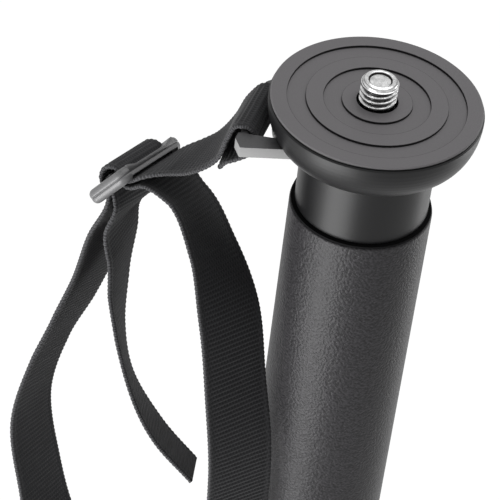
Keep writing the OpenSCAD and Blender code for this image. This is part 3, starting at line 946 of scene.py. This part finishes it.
        for i in range(last):
            for n in range(self.curve_steps):
                t = n / self.curve_steps
                pair = [(1 + 2 * t) * (1 - t) ** 2 * rows[i][k] + t * (1 - t) ** 2 * gaps[i] * slope(k, i)
                        + t * t * (3 - 2 * t) * rows[i + 1][k] - t * t * (1 - t) * gaps[i] * slope(k, i + 1)
                        for k in (0, 1)]
                fine.append((pair[0], pair[1]))
        fine.append(rows[last])
        reach = [0.0]
        for a, b in zip(fine, fine[1:]):
            reach.append(reach[-1] + (b[0] - a[0]).length)
        self.length = reach[-1]
        count = round(self.length / self.ring_step)
        k = 0
        for ring in range(count + 1):
            s = self.length * ring / count
            while k < len(reach) - 2 and reach[k + 1] < s:
                k += 1
            t = (s - reach[k]) / (reach[k + 1] - reach[k])
            self.points.append(fine[k][0].lerp(fine[k + 1][0], t))
            self.widths.append(fine[k][1].lerp(fine[k + 1][1], t))

    def frame_at(self, ring: int) -> tuple[Vector, Vector, Vector, Vector]:
        """Finds how the webbing lies at one ring.

        Args:
            ring: number of the ring from the sewn end.

        Returns:
            The point, and the directions along, across and out of the webbing.
        """
        last = len(self.points) - 1
        along = (self.points[min(ring + 1, last)] - self.points[max(ring - 1, 0)]).normalized()
        across = (self.widths[ring] - self.widths[ring].dot(along) * along).normalized()
        return self.points[ring], along, across, along.cross(across)

    def section(self) -> list[tuple[float, float, float]]:
        """Draws the webbing's section.

        Returns:
            Its points: place across, height share, and how far the ribs show there.
        """
        half = self.width / 2
        side = [(half - inset, h, r) for inset, h, r in self.selvage] + [(half / 2, 1, 1)]
        top = [(-u, h, r) for u, h, r in side] + [(0, 1, 1)] + [(u, h, r) for u, h, r in reversed(side)]
        return top + [(u, -h, r) for u, h, r in reversed(top[1:-1])]

    def build_webbing(self) -> Piece:
        """Models the webbing with its ribs and selvages.

        Returns:
            The webbing.
        """
        section = self.section()
        size = len(section)
        verts: list[Vector] = []
        marks: list[tuple[float, float]] = []
        for ring in range(len(self.points)):
            at, _, across, out = self.frame_at(ring)
            s = ring * self.length / (len(self.points) - 1)
            for u, share, ribbed in section:
                phase = math.tau * s / self.rib_pitch + (math.pi if share < 0 else 0)
                rib = 1 - self.rib_share * ribbed * (0.5 - 0.5 * math.cos(phase))
                edge = self.scallop * math.cos(phase) * (1 - ribbed) * (1 if u > 0 else -1)
                verts.append((at + (u + edge) * across + share * rib * self.thickness / 2 * out) * MM)
                marks.append((u, s))
        corners = ((0, 0), (0, 1), (1, 1), (1, 0))
        faces = [tuple(size * (i + a) + (k + b) % size for a, b in corners)
                 for i in range(len(self.points) - 1) for k in range(size)]
        faces.append(tuple(reversed(range(size))))
        faces.append(tuple(range(len(verts) - size, len(verts))))
        mesh = bpy.data.meshes.new("strap_webbing")
        mesh.from_pydata(verts, [], faces)
        weave = mesh.uv_layers.new(name="weave")
        weave.data.foreach_set("uv", [c for loop in mesh.loops for c in marks[loop.vertex_index]])
        obj = added("strap_webbing", mesh)
        edit(obj)
        bpy.ops.mesh.normals_make_consistent(inside=False)
        deselect()
        smooth(obj, self.crease)
        return place(obj, Body.STRAP, WEBBING, Slot.WEBBING, "wrist_strap")

    def build_stitches(self) -> Piece:
        """Models the rows of stitches that close the wrap round the lug.

        Returns:
            The stitches, as one piece.
        """
        deselect()
        segments, rings = self.stitch_ball
        bpy.ops.mesh.primitive_uv_sphere_add(segments=segments, ring_count=rings, radius=0.5)
        stitch = bpy.context.object
        shape = stitch.data.copy()
        bpy.data.objects.remove(stitch)
        copies = []
        for distance in self.stitch_rows:
            ring = round(distance / self.length * (len(self.points) - 1))
            at, along, across, out = self.frame_at(ring)
            turn = Matrix((across, along, out)).transposed().to_4x4()
            count = int((self.width - 2 * self.stitch_margin) / self.stitch_pitch)
            size = Matrix.Diagonal((self.stitch_length * MM, self.stitch_width * MM,
                                    self.stitch_height * MM, 1))
            for k in range(count):
                aside = self.stitch_pitch * (k - (count - 1) / 2)
                spot = at + across * aside + out * self.thickness * self.stitch_seat
                mesh = shape.copy()
                mesh.transform(Matrix.Translation(spot * MM) @ turn @ size)
                copies.append(added("stitch", mesh))
        activate(copies[0])
        for copy in copies:
            copy.select_set(True)
        bpy.ops.object.join()
        joined = named("strap_stitches")
        smooth(joined, self.crease)
        return place(joined, Body.STRAP, THREAD, Slot.WEBBING)

    def build(self) -> None:
        """Builds the webbing, its stitches and the slider."""
        self.lay()
        webbing = self.build_webbing()
        stitches = self.build_stitches()
        slider = self.slider.build()
        LOG.info("webbing is %.0f mm long", self.length)


@dataclass
class Head:
    """Camera plate, bowl and neck, threaded stud and strap lug."""

    stud_r: float = 4.76
    stud_h: float = 6.6
    thread_top: float = 5.56
    pitch: float = 1.5875
    start: float = 0.305
    depth: float = 0.9
    stud_steps: int = 96
    thread_rings: int = 64
    # Shares of the pitch: half of the flat root, and one flank
    root_share: float = 0.07
    flank_share: float = 0.3
    fade_h: float = 0.5
    thread_slack: float = 0.01
    # The stud's outline, by radius and height: below the thread, then the lead-in and the cup above it
    shank: tuple[tuple[float, float], ...] = ((0, -17), (3.1, -17), (3.1, -13.6), (4.4, -13.6), (4.4, 0))
    tip: tuple[tuple[float, float], ...] = (
        (4.54, 5.66), (4.48, 5.95), (4.38, 6.2), (4.18, 6.38), (3.75, 6.53), (3.6, 6.58), (3.48, stud_h),
        (3.22, stud_h), (3.14, 6.56), (2.68, 6.06), (2.6, 6), (0, 6))
    lug_edge: float = 0.3

    def build_stud(self) -> None:
        """Models the stud with its real helical thread."""
        rings = self.thread_rings
        thread = [(self.stud_r, self.thread_top * k / rings) for k in range(rings + 1)]
        blank = turned("threaded_stud", [*self.shank, *thread, *self.tip], self.stud_steps)
        for vert in blank.data.vertices:
            radius = math.hypot(vert.co.x, vert.co.y) / MM
            height = vert.co.z / MM
            if abs(radius - self.stud_r) < self.thread_slack:
                turn = math.atan2(vert.co.y, vert.co.x) / math.tau
                phase = (height / self.pitch - turn + self.start) % 1
                flank = min(max((abs(phase - 0.5) - self.root_share) / self.flank_share, 0), 1)
                fade = min((self.thread_top - height) / self.fade_h, 1)
                reach = self.stud_r - self.depth * (1 - flank) * fade
                vert.co.x *= reach / radius
                vert.co.y *= reach / radius
        place(blank, Body.HEAD, STUD_STEEL, Slot.STEEL, "camera_stud")

    def build(self) -> None:
        """Builds the head's pieces and coats its CAD nodes."""
        self.build_stud()
        lug = softened("strap_lug", "lug_casting", self.lug_edge)
        place(lug, Body.HEAD, LUG_PLATE, Slot.LUG, "strap_lug")
        coat(PLATE, "camera_plate")
        coat(HEAD_PAINT, "head_body")
        coat(ZINC, "stud_lock_nut", "plate_screws", "lug_screws", "neck_set_screw")


@dataclass
class Grip:
    """Foam sleeve with a black rubber ring above it, its deep black also painted shade for the gap under the
    neck, and a plastic ring below.
    """

    radius: float = 18.5
    bore: float = 15.05
    top: float = -33.2
    length: float = 215
    edge: float = 0.6
    edge_steps: int = 6

    def build(self) -> None:
        """Builds the foam sleeve and coats the rings."""
        low = self.top - self.length
        round_r = self.radius - self.edge
        bend = (self.edge, self.edge)
        profile = ([(self.bore, self.top)]
                   + arc((round_r, self.top - self.edge), bend, 90, 0, self.edge_steps)
                   + arc((round_r, low + self.edge), bend, 0, -90, self.edge_steps)
                   + [(self.bore, low), (self.bore, self.top)])
        sleeve = place(turned("foam_sleeve", profile), Body.HEAD, FOAM, Slot.FOAM, "foam_grip")
        # The top ring's deep black also stands in as painted shade for the gap between the neck and the foam
        coat(RUBBER, "grip_top_ring")
        coat(NYLON, "grip_end_ring")


@dataclass
class FlipLock:
    """One flip lock: split collar, lever on its pin, tension bolt and nut."""

    number: int
    body: Body
    lever_body: Body
    edge: float = 0.5

    def build(self) -> None:
        """Builds the collar and lever, and coats the rest."""
        n = self.number
        collar = softened(f"lock_collar_{n}", f"collar_moulding_{n}", self.edge)
        place(collar, self.body, NYLON, Slot.COLLAR, f"lock_collar_{n}")
        lever = softened(f"lock_lever_{n}", f"lever_moulding_{n}", self.edge)
        place(lever, self.lever_body, NYLON, Slot.LEVER, f"lock_lever_{n}")
        coat(STEEL, f"lever_pin_{n}", f"lock_bolt_{n}")
        coat(ZINC, f"lock_nut_{n}")
        coat(ACETAL, f"guide_bush_{n}")


@dataclass
class Leg:
    """Nested tubes, their bushes and the rubber foot."""

    base: float = -497
    top: float = -466
    foot_r: float = 11.5
    bore: float = 9.02
    floor: float = -483.6
    edge: float = 2.5
    edge_steps: int = 8
    round_steps: int = 96
    # Ring groove in the tread: radii of its mouth and of its bed, from inside out, and its depth
    tread_r: tuple[float, float, float, float] = (4, 4.4, 5.6, 6)
    tread_depth: float = 0.8
    # Grooves round the side: their heights, and half the height and the depth of each at its mouth and bed
    groove_z: tuple[float, ...] = (-486, -482.5, -479)
    groove_half: tuple[float, float] = (0.8, 0.5)
    groove_depth: tuple[float, float] = (0.1, 0.9)
    # The rubber's lip round the tube
    lip_r: tuple[float, float] = (10.9, 10.6)
    lip_h: float = 0.3

    def build(self) -> None:
        """Builds the foot with its grooves and coats the tubes."""
        grooves: Profile = []
        mouth_r, bed_r = (self.foot_r - depth for depth in self.groove_depth)
        mouth, bed = self.groove_half
        for height in self.groove_z:
            grooves += [(mouth_r, height - mouth), (bed_r, height - bed), (bed_r, height + bed),
                        (mouth_r, height + mouth)]
        tread_z = (self.base, self.base + self.tread_depth, self.base + self.tread_depth, self.base)
        round_r = self.foot_r - self.edge
        profile = ([(0, self.base), *zip(self.tread_r, tread_z), (round_r, self.base)]
                   + arc((round_r, self.base + self.edge), (self.edge, self.edge), -90, 0, self.edge_steps)
                   + grooves + [(self.lip_r[0], self.top + self.lip_h), (self.lip_r[1], self.top),
                                (self.bore, self.top), (self.bore, self.floor), (0, self.floor)])
        foot = turned("foot_moulding", profile, self.round_steps)
        place(foot, Body.LEG_4, RUBBER, Slot.FOOT, "rubber_foot")
        coat(ANODISED, "upper_tube", "tube_2", "tube_3", "tube_4")
        coat(ACETAL, "slide_bush_2", "slide_bush_3", "slide_bush_4")
        coat(NYLON, "foot_plug")


@dataclass(frozen=True)
class Softbox:
    """A rectangular studio light, with its place, aim and size in metres."""

    name: str
    at: tuple[float, float, float]
    aim: tuple[float, float, float]
    size: tuple[float, float]
    watts: float

    def build(self) -> None:
        """Hangs the light."""
        lamp = bpy.data.lights.new(self.name, "AREA")
        lamp.shape = "RECTANGLE"
        lamp.size, lamp.size_y = self.size
        lamp.energy = self.watts
        obj = added(self.name, lamp)
        obj.location = self.at
        obj.rotation_euler = (Vector(self.aim) - Vector(self.at)).to_track_quat("-Z", "Y").to_euler()
        obj.visible_camera = False


@dataclass
class Studio:
    """Camera, pale floor, white surround and soft lights.

    The camera's angles are in degrees, its distance in millimetres and its image in pixels.
    """

    elevation: float = 37.09
    roll: float = 9.06
    distance: float = 644.3
    focal_px: float = 2588.1
    origin_px: tuple[float, float] = (127.4, -149.7)
    image_px: float = 500
    sensor_mm: float = 36
    clip_start_m: float = 0.01
    floor_z_m: float = -1.5522
    floor_m: float = 60
    # The floor as seen takes shadows on its shade and glows to white; light bounces off a plain pale grey
    floor_shade: float = 0.22
    floor_glow: float = 0.97
    floor_bounce: float = 0.75
    fill: float = 0.2
    softboxes: tuple[Softbox, ...] = (
        Softbox("front_left", at=(-0.37, -0.48, -0.28), aim=(0, 0, -0.06), size=(0.46, 0.7), watts=8.5),
        Softbox("overhead", at=(0.1, 0.25, 1.1), aim=(0, 0, 0), size=(1.0, 1.0), watts=7.4),
        Softbox("rim_right", at=(0.7, 0.38, -0.2), aim=(0, 0, -0.08), size=(0.3, 0.8), watts=2.2),
    )

    def build_camera(self) -> None:
        """Sets the camera that was fitted to the photograph."""
        rise, lean = math.radians(self.elevation), math.radians(self.roll)
        spot = Vector((0, -math.cos(rise), math.sin(rise))) * self.distance * MM
        ahead = -spot.normalized()
        right = Vector((1, 0, 0))
        up = right.cross(ahead)
        rolled = Matrix((math.cos(lean) * right + math.sin(lean) * up,
                         math.cos(lean) * up - math.sin(lean) * right, ahead))
        to_origin = Vector((self.origin_px[0], -self.origin_px[1], self.focal_px)).normalized()
        middle = Vector((0, 0, 1))
        swing = Matrix.Rotation(middle.angle(to_origin), 3, middle.cross(to_origin))
        axes = swing @ rolled
        data = bpy.data.cameras.new("photo_camera")
        data.sensor_width = self.sensor_mm
        data.lens = self.focal_px / self.image_px * data.sensor_width
        data.clip_start = self.clip_start_m
        obj = added("photo_camera", data)
        turn = Matrix((axes[0], axes[1], -axes[2])).transposed().to_4x4()
        obj.matrix_world = Matrix.Translation(spot) @ turn
        bpy.context.scene.camera = obj

    def seen(self, tree: Tree) -> Socket:
        """Tells what is looked at from what only lights the object.

        Args:
            tree: the material's or world's node tree.

        Returns:
            One where a camera, glossy or transmission ray looks, and zero for light.
        """
        path = add_node(tree, "ShaderNodeLightPath")
        first = add_node(tree, "ShaderNodeMath", {"operation": "MAXIMUM"},
                         {0: path.outputs["Is Camera Ray"], 1: path.outputs["Is Glossy Ray"]})
        return add_node(tree, "ShaderNodeMath", {"operation": "MAXIMUM"},
                        {0: first.outputs[0], 1: path.outputs["Is Transmission Ray"]}).outputs[0]

    def build_world(self) -> None:
        """Surrounds the object with white that lights it gently."""
        world = bpy.data.worlds.new("white_surround")
        bpy.context.scene.world = world
        tree = emptied(world)
        light = add_node(tree, "ShaderNodeBackground", inputs={"Strength": self.fill, "Color": WHITE})
        view = add_node(tree, "ShaderNodeBackground", inputs={"Strength": 1.0, "Color": WHITE})
        mix = add_node(tree, "ShaderNodeMixShader",
                       inputs={0: self.seen(tree), 1: light.outputs[0], 2: view.outputs[0]})
        add_node(tree, "ShaderNodeOutputWorld", inputs={0: mix.outputs[0]})

    def build_floor(self) -> None:
        """Lays the pale floor under the foot at the legs' full reach, where no pose goes through it."""
        deselect()
        bpy.ops.mesh.primitive_plane_add(size=self.floor_m, location=(0, 0, self.floor_z_m))
        floor = named("studio_floor")
        made = bpy.data.materials.new("pale_floor")
        tree = emptied(made)
        shade, bounce = ((grey, grey, grey, 1.0) for grey in (self.floor_shade, self.floor_bounce))
        matt = add_node(tree, "ShaderNodeBsdfDiffuse", inputs={"Color": shade})
        glow = add_node(tree, "ShaderNodeEmission", inputs={"Strength": self.floor_glow})
        lit = add_node(tree, "ShaderNodeAddShader", inputs={0: matt.outputs[0], 1: glow.outputs[0]})
        plain = add_node(tree, "ShaderNodeBsdfDiffuse", inputs={"Color": bounce})
        mix = add_node(tree, "ShaderNodeMixShader",
                       inputs={0: self.seen(tree), 1: plain.outputs[0], 2: lit.outputs[0]})
        add_node(tree, "ShaderNodeOutputMaterial", inputs={"Surface": mix.outputs[0]})
        floor.data.materials.append(made)

    def build(self) -> None:
        """Sets up the surround, the floor and the lights."""
        bpy.context.scene.view_settings.view_transform = "Standard"
        self.build_world()
        self.build_floor()
        for softbox in self.softboxes:
            softbox.build()


def main() -> None:
    """Builds the monopod."""
    logging.basicConfig(level=logging.INFO, format="%(name)s: %(message)s")
    studio = Studio()
    studio.build_camera()
    WristStrap(Slider()).build()
    Head().build()
    Grip().build()
    FlipLock(1, Body.HEAD, Body.LEVER_1).build()
    FlipLock(2, Body.LEG_2, Body.LEVER_2).build()
    FlipLock(3, Body.LEG_3, Body.LEVER_3).build()
    Leg().build()
    studio.build()


if __name__ == "__main__":
    main()
